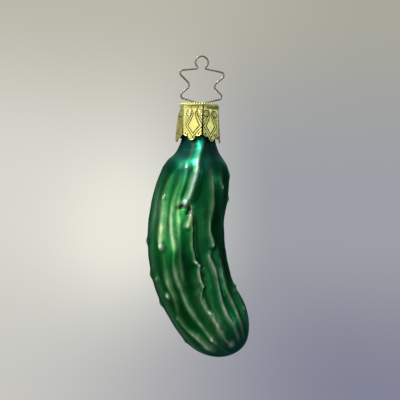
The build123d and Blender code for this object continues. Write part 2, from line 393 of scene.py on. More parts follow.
COLS, NECK_ROWS, INNER_ROWS = 300, 26, 18
phi = np.linspace(-np.pi, np.pi, COLS, endpoint=False)
t = np.linspace(0, 1, 210)[:-1] * (S_END - 16.0)
u = np.linspace(0, 1, 66)[:-1]
body_s = np.concatenate([t, S_END - 16.0 * (1 - np.sin(u * np.pi / 2))])
SG, PG = np.meshgrid(body_s, phi, indexing="ij")
RG = radius(SG)
base = tube_point(ax_x(SG), ax_z(SG), ax_lean(SG), RG, PG)

# outward normals of the smooth body
d_f = np.roll(base, -1, 1) - np.roll(base, 1, 1)
d_s = np.gradient(base, axis=0)
normal = np.cross(d_s, d_f)
normal /= np.linalg.norm(normal, axis=-1, keepdims=True)
if (normal[100, :, 1] * np.cos(phi)).sum() > 0:
    normal = -normal

height = np.zeros_like(SG)
crest = np.zeros_like(SG)
cool_highlight = np.zeros_like(SG)
for k, rd in enumerate(RIDGES):
    pts = np.array(rd["line"], float)
    path = np.radians(spline(pts[:, 0], pts[:, 1])(SG))
    wob = waves(100 + k, 7, 0, 9.0)(SG, 0 * SG)
    small = waves(300 + k, 9, 0, 3.2)(SG, 0 * SG)
    keen = 1.0 if rd["sharp"] < 1.7 else 0.45
    path = path + keen * (0.10 * wob + 0.12 * small) / np.maximum(RG, 4)
    d = RG * wrap(PG - path)
    amp = along(rd["height"], SG) * (1 + 0.14 * wob + 0.08 * small * keen)
    left = rd["left"] * (1 + 0.45 * (1 - ease(4.5, 9.0, SG))) if k == 0 else rd["left"]
    width = np.where(d < 0, left, rd["right"]) * (1 + 0.14 * waves(200 + k, 5, 0, 14.0)(SG, 0 * SG))
    height += amp * np.exp(-((np.abs(d) / width) ** rd["sharp"]))
    dry = np.clip(0.85 + 0.22 * waves(400 + k, 8, 0, 11.0)(SG, 0 * SG) + 0.14 * small, 0, 1.1)
    edge = (along(rd["edge"], SG) if isinstance(rd["edge"], list) else rd["edge"]) * (1 + 0.22 * waves(500 + k, 6, 0, 6.0)(SG, 0 * SG))
    edge = edge * (1 - 0.22 * ease(50, 64, SG))
    off = (d - rd["shift"]) / edge
    band = along(rd["paint"], SG) * dry * (0.55 * np.exp(-(np.abs(off) ** 2.5)) + 0.45 * np.exp(-((off / 0.45) ** 2)))
    if k == 1:
        band = band + along(rd["paint"], SG) * 0.09 * np.exp(-(((d + 1.2) / 1.7) ** 2)) * ease(44, 50, SG)
    crest = np.maximum(crest, band)
    if k == 0:
        cool_highlight = band
        highlight_streak = np.exp(-(((d + 1.0) / 1.5) ** 2)) * (1 - ease(6, 11, SG))

# a groove at the foot of the keen front ridge's steep side, with painted shade in it
front = np.array(RIDGES[1]["line"], float)
d = RG * wrap(PG - np.radians(spline(front[:, 0], front[:, 1])(SG)))
height -= 0.34 * np.exp(-(((d - 1.30) / 0.72) ** 2)) * ease(24, 29, SG) * (1 - ease(52, 62, SG))
groove_shade = np.exp(-(((d - 1.15) / 0.6) ** 2)) * ease(24, 29, SG) * (1 - ease(53, 60, SG))
front = np.array(RIDGES[0]["line"], float)
d = RG * wrap(PG - np.radians(spline(front[:, 0], front[:, 1])(SG)))
height -= 0.22 * np.exp(-(((d - 1.7) / 1.0) ** 2)) * ease(5, 10, SG) * (1 - ease(19, 23, SG))

wart = np.zeros_like(SG)
for ws, wf, wa, wr, *tip_paint in WARTS:
    near = np.abs(body_s - ws) < 4 * wr
    ds = SG[near] - ws
    dp = RG[near] * wrap(PG[near] - math.radians(wf))
    q = np.sqrt(ds * ds + dp * dp)
    height[near] += wa * np.exp(-((q / wr) ** 1.9))
    if wa > 0:
        wart[near] = np.maximum(wart[near], (tip_paint or [0.70])[0] * np.exp(-((q / (0.72 * wr)) ** 2)))

# a painted sheen: a thin pale reflection over the left flank, and fainter ones on the right
painted_sheen = np.exp(-(((np.degrees(wrap(PG)) + along([(19, 66), (25, 55), (32, 66)], SG)) / 12) ** 2)) * along([(12, 0), (18, 0.10), (25, 0.26), (33, 0.13), (42, 0.10), (62, 0.13), (69, 0.13), (74, 0)], SG)
painted_sheen += np.exp(-(((np.degrees(wrap(PG)) - 25) / 9) ** 2)) * along([(20, 0), (26, 0.05), (36, 0.05), (40, 0)], SG)
painted_sheen += np.exp(-(((np.degrees(wrap(PG)) - 68) / 12) ** 2)) * along([(52, 0), (58, 0.05), (66, 0.11), (73, 0.11), (76, 0)], SG)
painted_sheen *= np.clip(0.75 + 0.55 * waves(51, 16, 34, 26.0)(SG, PG), 0.1, 1.6)
crest = np.maximum(crest, painted_sheen)
cool_highlight = np.maximum(cool_highlight, np.clip(6 * painted_sheen, 0, 0.8) * (crest <= painted_sheen))

# the big wart that ends the upper ridge, hooded over a deep bent hollow, and the
# pale ridge that leaves the hollow downwards; across (mm round the front), along (mm)
across = RG * wrap(PG)
q = np.hypot(across + 0.95, (SG - 22.5) * 0.9)
height += 0.42 * np.exp(-((q / 0.95) ** 2.2))
wart = np.maximum(wart, 0.9 * np.exp(-((q / 0.8) ** 2)))
big = np.exp(-((q / 1.5) ** 2))
dh, wh = near_line(across, SG, [(-2.75, 24.0), (-2.0, 23.45), (-0.9, 23.2), (0.25, 23.35), (0.85, 23.9), (0.75, 24.7), (0.45, 25.4)])
hollow = np.exp(-((dh / (0.70 - 0.12 * wh)) ** 2)) * ease(-0.02, 0.22, wh + 0.12) * (1 - 0.55 * ease(0.75, 1.0, wh))
height -= 0.68 * hollow
around = np.exp(-((dh / 1.25) ** 2))
dr_, wr_ = near_line(across, SG, [(1.35, 24.6), (1.45, 26.4), (1.2, 28.0), (0.7, 29.5)])
pale = np.exp(-((dr_ / 0.72) ** 2))
height += 0.30 * pale
# the lacquer swells towards that ridge from the left
q = np.where(across < 0.9, (across - 0.9) / 2.3, (across - 0.9) / 0.7)
height += 0.32 * np.exp(-(q**2) - ((SG - 26.4) / 2.3) ** 2) * (1 - hollow)
crest = np.maximum(crest, 0.95 * pale * (1 - hollow))
crest = crest * (1 - 0.9 * hollow)

height -= 0.45 * ease(1.0, 4.2, SG) * (1 - ease(4.2, 7.4, SG)) * np.exp(-((np.degrees(wrap(PG)) + 24) / 26) ** 2)
fade = ease(4, 16, SG) * (1 - ease(72.5, S_END, SG))
height += 0.13 * waves(11, 26, 5, 15.0)(SG, PG) * fade
height += 0.030 * waves(12, 40, 16, 4.5)(SG, PG) * (0.25 + 0.75 * fade)
mean = height.mean(1, keepdims=True)
# painted shade in the recesses between the ridges, in the groove and in the hollow
crease_shade = np.clip((mean - 0.02 - height) / 0.40, 0, 1) * fade * (1 - 0.6 * ease(56, 64, SG))
crease_shade = np.maximum(np.maximum(crease_shade, hollow), 0.9 * groove_shade)
slim = 0.28 * np.exp(-(((SG - 55) / 8.0) ** 2))
height = np.maximum(height - mean * ease(1, 9, SG) - slim, -0.70)
height -= 0.15 * np.cos(PG) ** 2 * np.exp(-(((SG - 43) / 9) ** 2))
outer = base + height[..., None] * normal
# painted highlights where the amount is positive and painted shade where it is negative, laid into the lacquer's
# colour in patches
light = np.zeros_like(SG)
for ls, lf, ws, wf, amount in (
    (25.8, -9.5, 3.6, 6.0, 2.6), (8.7, -13.0, 1.9, 8.0, 1.0), (13.0, -14.5, 4.0, 5.0, 0.6), (17.5, -9.5, 4.5, 6.5, 0.35), (16.5, 9.0, 4.5, 5.5, 0.7), (73.5, -3.0, 3.0, 16.0, -0.95), (26.0, 23.0, 9.0, 10.0, 1.2), (15.5, -12.0, 5.0, 9.0, 0.35), (57.0, 18.0, 10.0, 9.0, 0.35), (50.0, 21.0, 4.0, 6.0, 0.4),
    (38.5, -15.0, 4.0, 8.0, 0.2), (40.5, -1.0, 4.0, 7.0, -1.2), (44.6, 8.0, 2.4, 4.5, -1.1), (52.0, -70.0, 12.0, 13.0, -0.45), (48.0, -27.0, 7.0, 5.0, -0.5), (36.0, 20.0, 6.0, 7.0, 0.7), (38.0, 58.0, 9.0, 12.0, -0.9), (30.0, -74.0, 18.0, 15.0, -0.7), (52.0, 68.0, 8.0, 10.0, -0.7), (11.0, 48.0, 6.0, 17.0, -0.6),
    (46.0, -3.0, 12.0, 7.0, -0.75), (27.0, -34.0, 6.0, 5.5, 0.6), (29.0, -16.0, 6.0, 6.0, 0.5), (34.0, -7.0, 4.0, 5.0, 1.3), (34.6, -20.0, 2.8, 10.0, 1.2), (40.5, -27.0, 3.2, 9.0, -0.8), (11.0, -42.0, 6.0, 16.0, -0.4), (55.0, 42.0, 9.0, 6.0, -0.35), (35.5, 2.5, 3.0, 6.0, -0.9), (12.0, 32.0, 6.0, 12.0, -0.35),
    (28.0, 160.0, 9.0, 14.0, 0.6), (44.0, 205.0, 10.0, 12.0, 0.4), (52.0, 140.0, 9.0, 10.0, -0.4), (36.0, 115.0, 8.0, 8.0, 0.3),
):
    light += amount * np.exp(-(((SG - ls) / ws) ** 2) - (np.degrees(wrap(PG - math.radians(lf))) / wf) ** 2)

# a painted highlight streak down the front ridge on the neck
light += (0.5 + 0.9 * ease(2.5, 6.0, SG)) * highlight_streak

# neck tube, drawn out of the same gather and a little uneven
neck_z = np.linspace(RIM_Z - 0.20, NECK_Z, NECK_ROWS, endpoint=False)
NZ, NP = np.meshgrid(neck_z, phi, indexing="ij")
first = np.linalg.norm(outer[0, :, :2], axis=-1)
join = ease(22.0, -NECK_Z, -NZ)
NR = (NECK_R + 0.03 * waves(21, 10, 3, 9.0)(NZ, NP)) * (1 - join) + first[None, :] * join
neck = tube_point(0 * NZ, NZ, 0 * NZ, NR, NP)
# cut rim, melted slightly round
rim = []
for ang in np.radians([20, 60, 100, 140]):
    r = NECK_R - WALL / 2 + (WALL / 2) * math.cos(ang)
    z = RIM_Z - 0.20 + 0.20 * math.sin(ang) + 0.05 * waves(22, 8, 4, 9.0)(0 * phi, phi)
    rim.append(tube_point(0 * phi, z, 0 * phi, r + 0 * phi, phi))
rim = np.array(rim)[::-1]
# inner wall: the bore and the hollow of the body
inner_neck_z = np.linspace(NECK_Z, RIM_Z - 0.22, 6)
IZ, IP = np.meshgrid(inner_neck_z, phi, indexing="ij")
inner_neck = tube_point(0 * IZ, IZ, 0 * IZ, NECK_R - WALL + 0 * IZ, IP)
step = np.linspace(len(body_s) - 6, 3, INNER_ROWS).astype(int)
inner = (base - (WALL + 0.75 * ease(3, 12, SG))[..., None] * normal)[step]
inner_tip = base[-1].mean(0) + (WALL + 0.75) * np.array([-math.sin(math.radians(28)), 0, math.cos(math.radians(28))])
tip = np.array([BODY[-1, 0], 0.0, BODY[-1, 1]])

rows = np.concatenate([inner, inner_neck, rim, neck, outer])
n_rows = len(rows)
points = np.concatenate([rows.reshape(-1, 3), inner_tip[None], tip[None]]) * MM
i_inner_tip, i_tip = n_rows * COLS, n_rows * COLS + 1
j = np.arange(COLS)
jn = (j + 1) % COLS
faces = []
for r in range(n_rows - 1):
    a, b = r * COLS, (r + 1) * COLS
    faces.extend(np.stack([a + j, b + j, b + jn, a + jn], 1).tolist())
faces.extend(np.stack([np.full(COLS, i_inner_tip), j, jn], 1).tolist())
last = (n_rows - 1) * COLS
faces.extend(np.stack([last + j, np.full(COLS, i_tip), last + jn], 1).tolist())

glass = mesh_object("gherkin_glass", points, faces, "glass", "glass_body")
face_outwards(glass)
n_in = len(inner) + len(inner_neck)
n_rim = len(rim)


def per_vertex(inside, rim_v, neck_v, out_v):
    """One value per vertex: inner wall, rim, neck, outside of the body, and the two tips."""
    return np.concatenate(
        [np.full(n_in * COLS, inside), np.full(n_rim * COLS, rim_v), np.ravel(neck_v), np.ravel(out_v), [inside], [np.asarray(out_v)[-1].mean()]]
    )


zero_n = np.zeros_like(NZ)
edge_z = -22.5 + 0.9 * waves(31, 9, 4, 50.0)(0 * NP, NP)
float_attribute(glass.data, "lacquer", per_vertex(0.0, 0.0, 1 - ease(0, 1, (NZ - edge_z + 0.5)), np.ones_like(SG)))
float_attribute(glass.data, "crest", per_vertex(0.0, 0.0, zero_n, np.clip(np.maximum(crest, 1.0 * wart), 0, 1)))
float_attribute(glass.data, "cool_highlight", per_vertex(0.0, 0.0, zero_n, np.clip(cool_highlight, 0, 1)))
float_attribute(glass.data, "crease_shade", per_vertex(0.0, 0.0, zero_n, crease_shade))
drift = 1.3 * waves(41, 8, 4, 14.0)(SG, PG)
ends = np.maximum(1 - ease(7, 19, SG + 2.5 * np.sin(PG) + drift), ease(62, 75, SG + drift))
float_attribute(glass.data, "ends", per_vertex(0.0, 0.0, np.ones_like(NZ), ends))
float_attribute(glass.data, "light", per_vertex(0.0, 0.0, zero_n, light))
# painted shade on the neck under the cap, kept off the highlight streak; it also roughens the neck
neck_shade = (1 - ease(4.5, 8.0, SG)) * (1 - 0.95 * np.clip(np.maximum(cool_highlight / 0.35, 1.15 * highlight_streak), 0, 1))
dull = (0.15 - 0.05 * highlight_streak) * (1 - ease(8.0, 12.0, SG)) + 0.18 * neck_shade + np.maximum(0.34 * around, 0.14 * big)
dull += 0.22 * ease(48, 60, np.degrees(wrap(PG))) * (1 - ease(85, 100, np.degrees(wrap(PG)))) * ease(48, 54, SG) * (1 - ease(69, 75, SG))
# painted shade in the hollow under the big wart
float_attribute(glass.data, "hollow_shade", per_vertex(0.0, 0.0, zero_n, np.clip(1.3 * np.maximum(hollow, np.exp(-((dh / 0.9) ** 2)) * ease(23.4, 24.0, SG)), 0, 1)))
float_attribute(glass.data, "dull", per_vertex(0.0, 0.0, 0.3 + zero_n, dull))
float_attribute(glass.data, "neck", per_vertex(0.0, 0.0, np.ones_like(NZ), neck_shade))
float_attribute(glass.data, "wart", per_vertex(0.0, 0.0, zero_n, np.clip(wart, 0, 1)))
float_attribute(glass.data, "low", per_vertex(0.0, 0.0, zero_n, ease(32, 42, SG)))
float_attribute(glass.data, "side", per_vertex(0.5, 0.5, 0.5 + 0.5 * np.sin(NP), 0.5 + 0.5 * np.sin(PG)))

m, nt, p = new_material("green_lacquered_glass")
co = object_coords(nt)
a_crest, a_crease_shade, a_ends, a_lac, a_low, a_cool_highlight, a_side, a_light, a_neck_shade, a_wart, a_dull, a_hollow_shade = (
    attribute(nt, n) for n in ("crest", "crease_shade", "ends", "lacquer", "low", "cool_highlight", "side", "light", "neck", "wart", "dull", "hollow_shade")
)
cloud = noise(nt, co, 160.0, 4.0)
mottle = noise(nt, co, 900.0, 3.0)
brush = noise(nt, co, 800.0, 5.0, 0.65, (1.0, 1.0, 0.22))
green = mix(nt, mrange(nt, cloud, 0.35, 0.68), (0.002, 0.190, 0.032), (0.006, 0.265, 0.046))
green = mix(nt, mrange(nt, a_side, 0.45, 0.95, 0.0, 0.7), green, (0.002, 0.215, 0.068))
green = mix(nt, mrange(nt, mottle, 0.40, 0.75, 0.0, 0.30), green, (0.010, 0.280, 0.055))
teal = mix(nt, mrange(nt, cloud, 0.35, 0.65), (0.006, 0.105, 0.072), (0.011, 0.160, 0.098))
lac = mix(nt, a_ends, green, teal)
# painted highlight colours where the light attribute is positive, and painted shade where it is negative
highlight_colour = mix(nt, a_ends, (0.025, 0.42, 0.10), (0.012, 0.36, 0.19))
lac = mix(nt, mrange(nt, a_light, 0.0, 1.0, 0.0, 0.9, False), lac, highlight_colour)
strong_highlight_colour = mix(nt, a_ends, (0.08, 0.78, 0.16), (0.09, 0.76, 0.56))
lac = mix(nt, mrange(nt, a_light, 1.0, 2.0, 0.0, 0.8, False), lac, strong_highlight_colour)
lac = mix(nt, mrange(nt, a_light, 0.0, -1.0, 0.0, 0.8, False), lac, (0.001, 0.065, 0.014))
# painted shade on the neck under the cap
lac = mix(nt, calc(nt, "MULTIPLY", a_neck_shade, 0.75), lac, (0.002, 0.030, 0.027))
# painted shade in the recesses
lac = mix(nt, calc(nt, "MULTIPLY", a_crease_shade, 0.75), lac, (0.001, 0.040, 0.013))
# painted shade in the hollow under the big wart
lac = mix(nt, calc(nt, "MULTIPLY", a_hollow_shade, 0.9), lac, (0.0005, 0.014, 0.006))
dry = calc(nt, "MULTIPLY", a_crest, mrange(nt, brush, 0.30, 0.62, 0.55, 1.10), True)
# pale colour on the crests: partly pale paint, partly a painted highlight; white on the wart tips is a painted glint
pale_paint_and_glint = mix(nt, a_low, (0.60, 0.84, 0.47), (0.46, 0.53, 0.41))
pale_paint_and_glint = mix(nt, a_wart, pale_paint_and_glint, (0.84, 0.90, 0.83))
# a pale bluish painted highlight on the upper front ridge and in the sheen
pale_paint_and_glint = mix(nt, a_cool_highlight, pale_paint_and_glint, (0.54, 0.72, 0.78))
paint = calc(nt, "MULTIPLY", dry, 0.92)
lac = mix(nt, paint, lac, pale_paint_and_glint)
silver = mix(nt, mrange(nt, cloud, 0.3, 0.7), (0.55, 0.56, 0.55), (0.72, 0.72, 0.70))
nt.links.new(mix(nt, a_lac, silver, lac), p.inputs["Base Color"])
nt.links.new(mrange(nt, paint, 0.0, 1.0, 0.97, 0.15, False), p.inputs["Metallic"])
rough = calc(nt, "ADD", mrange(nt, mottle, 0.3, 0.7, 0.26, 0.31), calc(nt, "MULTIPLY", dry, 0.06))
rough = calc(nt, "ADD", rough, a_dull)
rough = calc(nt, "SUBTRACT", rough, calc(nt, "MULTIPLY", a_wart, 0.16))
nt.links.new(rough, p.inputs["Roughness"])
p.inputs["Specular Tint"].default_value = (0.28, 0.42, 0.46, 1.0)
p.inputs["Coat Weight"].default_value = 0.10
p.inputs["Coat Roughness"].default_value = 0.13
p.inputs["Coat IOR"].default_value = 1.45
peel = calc(nt, "ADD", noise(nt, co, 1500.0, 2.0), calc(nt, "MULTIPLY", dry, 0.6))
bump(nt, p, peel, 0.22, 0.00006)
glass.data.materials.append(m)

# ------------------------------------------------------------------ stamped cap
CAP_TOP, CAP_T, R_TOP, R_LOW, SHOULDER = -16.10, 0.28, 6.82, 7.60, 1.20
LOW_Z, SIDE_Z, HOLE_R, SLIT_Z, SLIT = -28.95, -26.95, 1.75, -16.95, 0.23
KNEE_Z = CAP_TOP - SHOULDER


def cap_r(z):
    """Outer radius of the skirt, and of the rolled shoulder above it."""
    z = np.asarray(z, float)
    skirt = R_TOP + (R_LOW - R_TOP) * (KNEE_Z - z) / (KNEE_Z - LOW_Z)
    roll_r = R_TOP - SHOULDER + np.sqrt(np.maximum(SHOULDER**2 - np.maximum(z - KNEE_Z, 0) ** 2, 0))
    return np.where(z > KNEE_Z, roll_r, skirt)


def pressed(z, ang, amount=0.72):
    """Each petal is pressed nearly flat, starting in the shoulder: the factor on the radius
    at an angle from the petal's middle."""
    flat = amount * ease(0.1, 2.3, CAP_TOP - z)
    return 1 - flat + flat * math.cos(math.radians(30)) / np.cos(ang)


half = math.sin(math.pi / 6)
W_TOP, W_LOW, LOBE = R_TOP * half - SLIT, (R_TOP + 0.8 * (R_LOW - R_TOP)) * half - SLIT - 0.03, 1.50
lobe_x = LOBE * np.sin(np.linspace(-np.pi / 2, np.pi / 2, 43))
side_x = np.linspace(LOBE, W_LOW, 22)[1:]
col_x = np.concatenate([-side_x[::-1], lobe_x, side_x])


def low_edge(x):
    """Height of a petal's lower edge: a scallop each side of a round lobe."""
    x = np.abs(x)
    lobe = SIDE_Z - 0.45 - 0.049 - np.sqrt(np.maximum(LOBE**2 - x**2, 0))
    q = np.clip((x - LOBE) / (W_LOW - LOBE), 0, 1)
    side = SIDE_Z - 0.45 - 0.27 * np.sin(np.pi * q) + 0.45 * q * q
    return np.where(x <= LOBE, lobe, side)


def gauss(d, w):
    return np.exp(-((d / w) ** 2))


def relief(x, z, gap):
    """Stamped pattern of one petal, in mm proud of the sheet: a double-lined diamond
    drawn up to a waist between two curls, hatching beside it, and ovals and a shell
    along the lower edge. x runs across, z up, gap is the height above the lower edge."""
    ax = np.abs(x)
    zc, hw, hi, hb, rise = -24.00, 3.00, 2.12, 3.90, 3.90
    low = (ax / hw + (zc - z) / hb - 1) / math.hypot(1 / hw, 1 / hb)
    tq = np.clip((z - zc) / rise, 0, 1)
    outer_x = 1.12 + (hw - 1.12) * (1 - tq) ** 1.25
    inner_x = 0.36 + (hi - 0.36) * (1 - tq) ** 1.25
    top = z > zc
    d_out = np.where(top, (ax - outer_x) * 0.85, low)
    d_in = np.where(top, (ax - inner_x) * 0.85, low + 0.72)
    live = 1 - ease(zc + rise - 0.1, zc + rise + 0.5, z)
    out = live * (-0.090 * gauss(d_out, 0.10) - 0.095 * gauss(d_in, 0.10))
    out += 0.035 * live * ease(0.05, 0.45, -d_in)
    # the lines part again above the waist
    up = np.clip((z - zc - rise) / 2.0, 0, 1)
    fl = ease(zc + rise - 0.1, zc + rise + 0.3, z) * (1 - ease(-17.9, -17.6, z))
    out -= fl * 0.08 * gauss(ax - (0.36 + 0.95 * up**1.6), 0.12)
    # the curls
    dx, dz = ax - 1.90, z + 19.75
    rho = np.hypot(dx / 0.98, dz / 1.10)
    th = np.arctan2(dz, -dx)
    turn = 1.00 - 0.14 * (th / np.pi)
    out += 0.03 * (1 - ease(0.80, 1.0, rho)) - 0.085 * gauss(rho - turn, 0.13)
    out -= 0.07 * gauss(rho - 0.50 * turn, 0.12) * ease(-2.6, -1.6, th)
    out += 0.05 * gauss(rho, 0.22)
    # hatching along the diamond's upper sides, pebbling below them
    side_m = ease(0.2, 0.35, d_out) * top * (1 - ease(-21.0, -20.7, z)) * (1 - ease(3.25, 3.4, ax))
    out -= 0.050 * side_m * (0.5 + 0.5 * np.cos((d_out - 0.50) * 2 * np.pi / 0.50)) ** 2
    low_m = ease(0.25, 0.45, d_out) * (~top) * ease(0.5, 0.8, gap)
    out += 0.030 * low_m * np.cos(ax * 2 * np.pi / 0.62) * np.cos(z * 2 * np.pi / 0.66)
    # line under the beaded shoulder
    out -= 0.03 * gauss(z + 17.45, 0.12)
    # ovals beside the lobe
    ov = np.hypot((ax - 2.45) / 0.52, (z + 26.75) / 0.30)
    out += 0.03 * (1 - ease(0.7, 1.0, ov)) - 0.075 * gauss((ov - 1.0) * 0.4, 0.12)
    # raised edge, and the shell in the lobe
    out += 0.060 * gauss(gap - 0.15, 0.12)
    out -= 0.080 * gauss(gap - 0.42, 0.12) * (ax < 1.3)
    fan = np.arctan2(x, z + 27.2)
    out += 0.035 * np.cos(fan * 9) * gauss(np.hypot(x, z + 28.15), 0.42) * (z < -27.75)
    return out


# the outside is a fine grid, the plain inside takes every third row and column of it
ROWS_P, EVERY = 130, 3
row_q = np.linspace(0, 1, ROWS_P)
rng = np.random.RandomState(5)
OFFSET = [-0.45, 0.10, -0.20, 0.15, -0.10, 0.55]
BROAD = [1.0, 1.0, 1.0, 1.0, 1.0, 0.93]
# reach of each petal to its two sides; the one at the front left is broad at its top, and
# the one beside it gives way
SPAN = [(1, 1), (1, 1), (1, 1), (1, 1), (1, [(0, 0.90), (5, 0.93), (10, 1.015)]), ([(0, 1.14), (5, 1.08), (10, 0.93)], 1)]
FLAT = [0.72, 0.60, 0.72, 0.72, 0.40, 0.72]
LIFT = [0.05, 0.32, 0.10, 0.02, 0.0, 0.06]
DROP = [0.0, 0.1, 0.0, 0.12, 0.45, 0.0]
TURN = [0.0, 0.0, -0.6, 0.8, 4.0, 0.0]
n_c = len(col_x)


def bulge(f):
    """The cap is knocked out of round on its left: how far, at an angle from the front."""
    return 0.30 * np.exp(-(((np.degrees(wrap(f)) + 85) / 25) ** 2))


cap_pts, cap_faces, reliefs, petal_ids, inner_ids, top_xy = [], [], [], [], [], []
vid = 0


def add_points(pts, rel):
    """Add a grid of points to the cap and return their numbers in the same grid."""
    global vid
    ids = np.arange(vid, vid + pts[..., 0].size).reshape(pts.shape[:-1])
    vid += ids.size
    cap_pts.append(pts.reshape(-1, 3))
    reliefs.append(np.broadcast_to(rel, ids.shape).ravel())
    return ids


def add_grid(ids):
    a, b = ids[:-1], ids[1:]
    cap_faces.extend(np.stack([a[:, :-1], b[:, :-1], b[:, 1:], a[:, 1:]], -1).reshape(-1, 4).tolist())


def add_rim(fine, coarse):
    """The cut edge of the sheet, from the outside's points to every third of them inside."""
    for i in range(len(coarse) - 1):
        cap_faces.append([*map(int, fine[i * EVERY : (i + 1) * EVERY + 1]), int(coarse[i + 1]), int(coarse[i])])


for k in range(6):
    centre = math.radians(10 + 60 * (k + 0.5))
    X, Q = np.meshgrid(col_x, row_q, indexing="xy")
    edge_k = low_edge(X) - DROP[k]
    Z = SLIT_Z + (edge_k - SLIT_Z) * Q
    wz = W_TOP + (W_LOW - W_TOP) * np.clip((SLIT_Z - Z) / (SLIT_Z - SIDE_Z), 0, 1.05)
    span = [along(v, SLIT_Z - Z) if isinstance(v, list) else v for v in SPAN[k]]
    lateral = X / W_LOW * wz * np.where(X < 0, *span)
    R = cap_r(Z)
    ang = np.arcsin(np.clip(lateral / R, -0.999, 0.999))
    R = R * pressed(Z, ang, 0.72 + (FLAT[k] - 0.72) * ease(0.0, 3.0, SLIT_Z - Z))
    tipped = rng.uniform(-0.05, 0.10)
    f = centre + ang + math.radians(TURN[k]) * ease(1.0, 8.0, SLIT_Z - Z)
    R = R + 0.956 * bulge(f) * (1 if k == 4 else 1 - ease(0.0, 2.0, SLIT_Z - Z))
    R = R + LIFT[k] * ease(1.0, 14.0, SLIT_Z - Z) * 1.1 + tipped * ease(9.5, 12.0, SLIT_Z - Z)
    if k == 5:
        R = R - 0.20 * ease(0.2, 2.0, SLIT_Z - Z) * ease(0.25, 1.0, -X / W_LOW)
    if k == 4:
        # it bulges out; its front edge is tucked in beside its neighbour
        R = R + (0.42 * ease(0.0, 5.0, SLIT_Z - Z) - 0.20 * ease(9.0, 12.5, SLIT_Z - Z)) * (1 - 0.35 * ease(0.0, 0.9, X / W_LOW))
        R = R - 0.18 * ease(0.2, 2.0, SLIT_Z - Z) * ease(0.45, 0.95, X / W_LOW)
    if k == 1:
        R = R - 0.40 * ease(0.2, 2.0, SLIT_Z - Z) * ease(0.55, 1.0, -X / W_LOW)
    rel = relief((lateral - OFFSET[k]) * BROAD[k], Z, Z - edge_k) * ease(0.12, 0.45, SLIT_Z - Z)
    dents = 0.016 * waves(700 + k, 14, 0, 2.4)(Z, 0 * Z) + 0.016 * waves(720 + k, 10, 0, 2.4)(lateral, 0 * Z)
    R_in = (R - CAP_T)[::EVERY, ::EVERY]
    R = R + rel + dents * ease(0.2, 1.0, SLIT_Z - Z)
    grid = np.stack([R * np.sin(f), -R * np.cos(f), Z], -1)
    f_in = f[::EVERY, ::EVERY]
    ids = add_points(grid, rel)
    ids_in = add_points(np.stack([R_in * np.sin(f_in), -R_in * np.cos(f_in), Z[::EVERY, ::EVERY]], -1), 0.0)
    petal_ids.append(ids)
    inner_ids.append(ids_in)
    top_xy.append(grid[0])
    add_grid(ids)
    add_grid(ids_in)
    for fine, coarse in ((ids[:, 0], ids_in[:, 0]), (ids[-1], ids_in[-1]), (ids[:, -1], ids_in[:, -1])):
        add_rim(fine, coarse)
top_ring = np.concatenate([ids[0] for ids in petal_ids])
top_xy = np.concatenate(top_xy)
ring_f = np.arctan2(top_xy[:, 0], -top_xy[:, 1])
n_ring = len(top_ring)
# shoulder with a beaded edge, flat top, and the turned-in lip of the hole, ring by ring
knee_angle = math.asin((SLIT_Z - KNEE_Z) / SHOULDER)
profile = []
for a in np.linspace(knee_angle, math.pi / 2, 15)[1:]:
    row = gauss(math.degrees(a) - 47, 15)
    profile.append((R_TOP - SHOULDER + SHOULDER * math.cos(a), KNEE_Z + SHOULDER * math.sin(a), a, row))
profile += [(r, CAP_TOP - 0.07 * gauss(r - 4.9, 0.3), math.pi / 2, 0.0) for r in np.linspace(5.4, 2.25, 18)]
profile += [(2.05, CAP_TOP, 0, 0.0), (1.90, CAP_TOP - 0.02, 0, 0.0), (1.80, CAP_TOP - 0.07, 0, 0.0), (HOLE_R, CAP_TOP - 0.15, 0, 0.0)]
prev = top_ring
nx = np.roll(np.arange(n_ring), -1)
top_in = np.concatenate([ids[0] for ids in inner_ids])
prev_in = top_in
n_in_ring = len(top_in)
nx_in = np.roll(np.arange(n_in_ring), -1)
f_in = np.concatenate([ring_f[k * n_c : (k + 1) * n_c : EVERY] for k in range(6)])
off_in = wrap((f_in - math.radians(40)) * 6) / 6
bead = np.cos(48 * ring_f)
ring_off = wrap((ring_f - math.radians(40)) * 6) / 6
for i, (r, z, a, row) in enumerate(profile):
    push = row * (0.15 * np.maximum(bead, -0.5))
    rip = 0.012 * waves(800 + i, 6, 9, 5.0)(0 * ring_f, ring_f) if 14 <= i < len(profile) - 4 else 0 * ring_f
    rr = r * (pressed(z, ring_off) if i < 14 else 1.0) + push * math.cos(a) + (bulge(ring_f) * math.cos(a) if i < 14 else 0)
    zz = z + push * math.sin(a) + rip
    ids = add_points(np.stack([rr * np.sin(ring_f), -rr * np.cos(ring_f), zz], -1), push * 0.9)
    cap_faces.extend(np.stack([prev, prev[nx], ids[nx], ids], 1).tolist())
    prev = ids
    # the inside follows at the sheet's thickness
    if i < len(profile) - 4 and i % EVERY == EVERY - 1 or i == len(profile) - 1:
        last_one = i == len(profile) - 1
        r_in = HOLE_R + 0.20 if last_one else r - CAP_T * math.cos(a)
        z_in = CAP_TOP - 0.34 if last_one else z - CAP_T * math.sin(a)
        rr = r_in * (pressed(z, off_in) if i < 14 else 1.0) + (bulge(f_in) * math.cos(a) if i < 14 else 0)
        ids = add_points(np.stack([rr * np.sin(f_in), -rr * np.cos(f_in), z_in + 0 * f_in], -1), 0.0)
        cap_faces.extend(np.stack([prev_in, prev_in[nx_in], ids[nx_in], ids], 1).tolist())
        prev_in = ids
